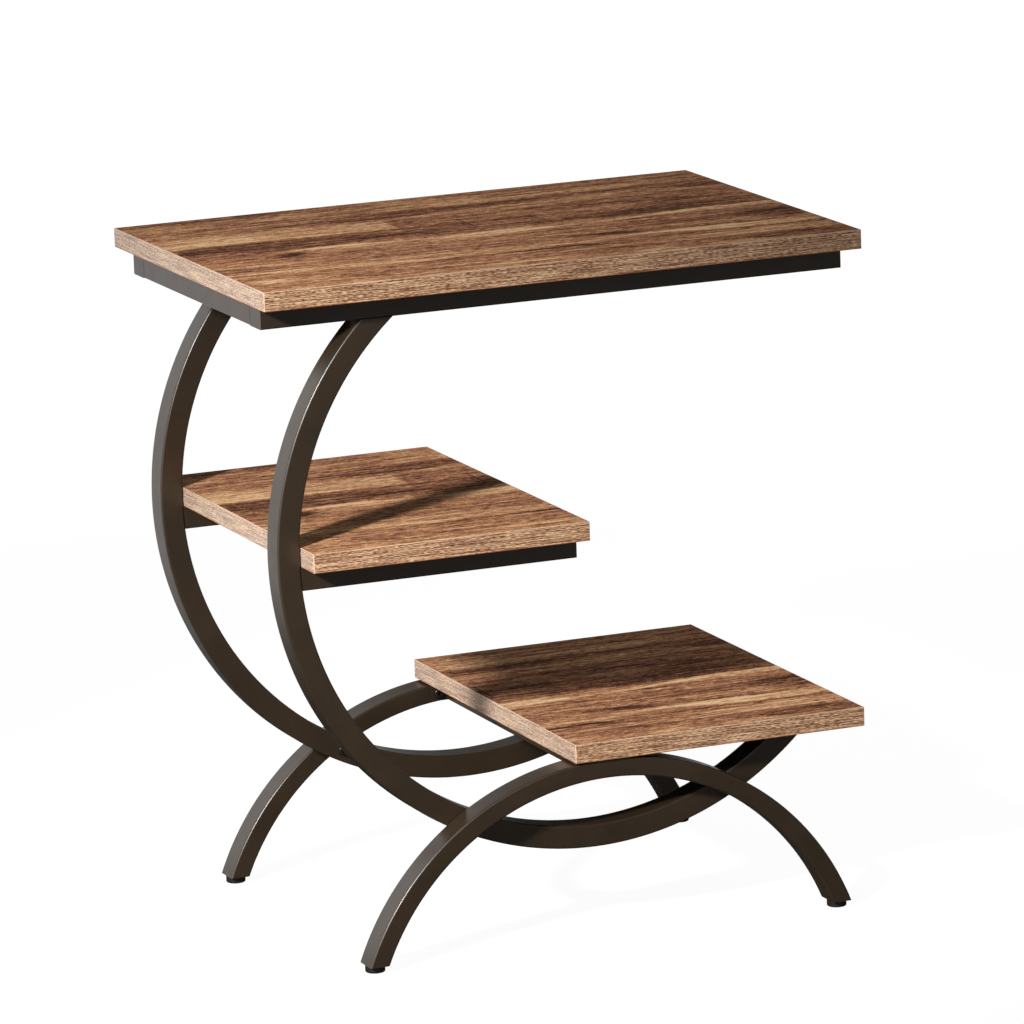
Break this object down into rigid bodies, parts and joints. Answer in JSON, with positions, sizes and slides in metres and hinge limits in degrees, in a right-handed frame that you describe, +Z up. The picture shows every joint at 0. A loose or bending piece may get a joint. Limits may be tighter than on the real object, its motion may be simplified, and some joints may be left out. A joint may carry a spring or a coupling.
{
  "type": "c-shaped side table",
  "caption": "C-shaped side table whose top board and offset shelves hang on curved steel tubes, which stand on low arched legs with screw-in levelling feet.",
  "frame": {"origin": "on the floor, under the middle of the top board", "axes": "+X along the long side towards the lower shelf, +Y from front to back, +Z up"},
  "size_m": [0.59, 0.4, 0.645],
  "materials": {
    "board_laminate": "particle board faced with walnut-pattern laminate, matt",
    "edge_band": "printed edge band, matt",
    "powder_coated_steel": "dark bronze-black powder coat, satin",
    "screw_zinc": "zinc plated",
    "nut_steel": "plain steel",
    "bolt_black": "black oxide",
    "plug_plastic": "black nylon",
    "foot_plastic": "black nylon",
    "stud_zinc": "zinc plated"
  },
  "bodies": {
    "table": {"apex_bar": "powder_coated_steel", "apex_bar_plates": "powder_coated_steel", "apex_bolts": "bolt_black", "apex_weld_nuts": "nut_steel", "arc_end_rail": "powder_coated_steel", "c_arc_back": "powder_coated_steel", "c_arc_front": "powder_coated_steel", "crossing_bolts": "bolt_black", "crossing_weld_nuts": "nut_steel", "foot_plugs": "plug_plastic", "leg_arch_back": "powder_coated_steel", "leg_arch_front": "powder_coated_steel", "lower_board": "board_laminate", "lower_edge_bands": "edge_band", "lower_screws": "screw_zinc", "middle_board": "board_laminate", "middle_edge_bands": "edge_band", "middle_rail_back": "powder_coated_steel", "middle_rail_end_caps": "powder_coated_steel", "middle_rail_front": "powder_coated_steel", "middle_rail_right": "powder_coated_steel", "middle_screws": "screw_zinc", "top_board": "board_laminate", "top_edge_bands": "edge_band", "top_rail_back": "powder_coated_steel", "top_rail_end_caps": "powder_coated_steel", "top_rail_front": "powder_coated_steel", "top_rail_left": "powder_coated_steel", "top_rail_right": "powder_coated_steel", "top_screws": "screw_zinc"},
    "foot_pad_front_left": {"foot_pad_front_left": "foot_plastic"},
    "foot_stud_front_left": {"foot_stud_front_left": "stud_zinc"},
    "foot_pad_front_right": {"foot_pad_front_right": "foot_plastic"},
    "foot_stud_front_right": {"foot_stud_front_right": "stud_zinc"},
    "foot_pad_back_left": {"foot_pad_back_left": "foot_plastic"},
    "foot_stud_back_left": {"foot_stud_back_left": "stud_zinc"},
    "foot_pad_back_right": {"foot_pad_back_right": "foot_plastic"},
    "foot_stud_back_right": {"foot_stud_back_right": "stud_zinc"}
  },
  "joints": [
    {"name": "foot_slide_front_left", "type": "slide", "parent": "table", "child": "foot_pad_front_left", "axis": [0, 0, -1], "range_m": [0, 0.006]},
    {"name": "foot_screw_front_left", "type": "hinge", "parent": "foot_pad_front_left", "child": "foot_stud_front_left", "pos_m": [-0.20667, -0.183, 0.01], "axis": [0, 0, -1], "range_deg": [0, 2161]},
    {"name": "foot_slide_front_right", "type": "slide", "parent": "table", "child": "foot_pad_front_right", "axis": [0, 0, -1], "range_m": [0, 0.006]},
    {"name": "foot_screw_front_right", "type": "hinge", "parent": "foot_pad_front_right", "child": "foot_stud_front_right", "pos_m": [0.26067, -0.183, 0.01], "axis": [0, 0, -1], "range_deg": [0, 2161]},
    {"name": "foot_slide_back_left", "type": "slide", "parent": "table", "child": "foot_pad_back_left", "axis": [0, 0, -1], "range_m": [0, 0.006]},
    {"name": "foot_screw_back_left", "type": "hinge", "parent": "foot_pad_back_left", "child": "foot_stud_back_left", "pos_m": [-0.20667, 0.183, 0.01], "axis": [0, 0, -1], "range_deg": [0, 2161]},
    {"name": "foot_slide_back_right", "type": "slide", "parent": "table", "child": "foot_pad_back_right", "axis": [0, 0, -1], "range_m": [0, 0.006]},
    {"name": "foot_screw_back_right", "type": "hinge", "parent": "foot_pad_back_right", "child": "foot_stud_back_right", "pos_m": [0.26067, 0.183, 0.01], "axis": [0, 0, -1], "range_deg": [0, 2161]}
  ],
  "couplings": [
    {"joint": "foot_screw_front_left", "follows": "foot_slide_front_left", "rad_per_m": 6283.2},
    {"joint": "foot_screw_front_right", "follows": "foot_slide_front_right", "rad_per_m": 6283.2},
    {"joint": "foot_screw_back_left", "follows": "foot_slide_back_left", "rad_per_m": 6283.2},
    {"joint": "foot_screw_back_right", "follows": "foot_slide_back_right", "rad_per_m": 6283.2}
  ]
}
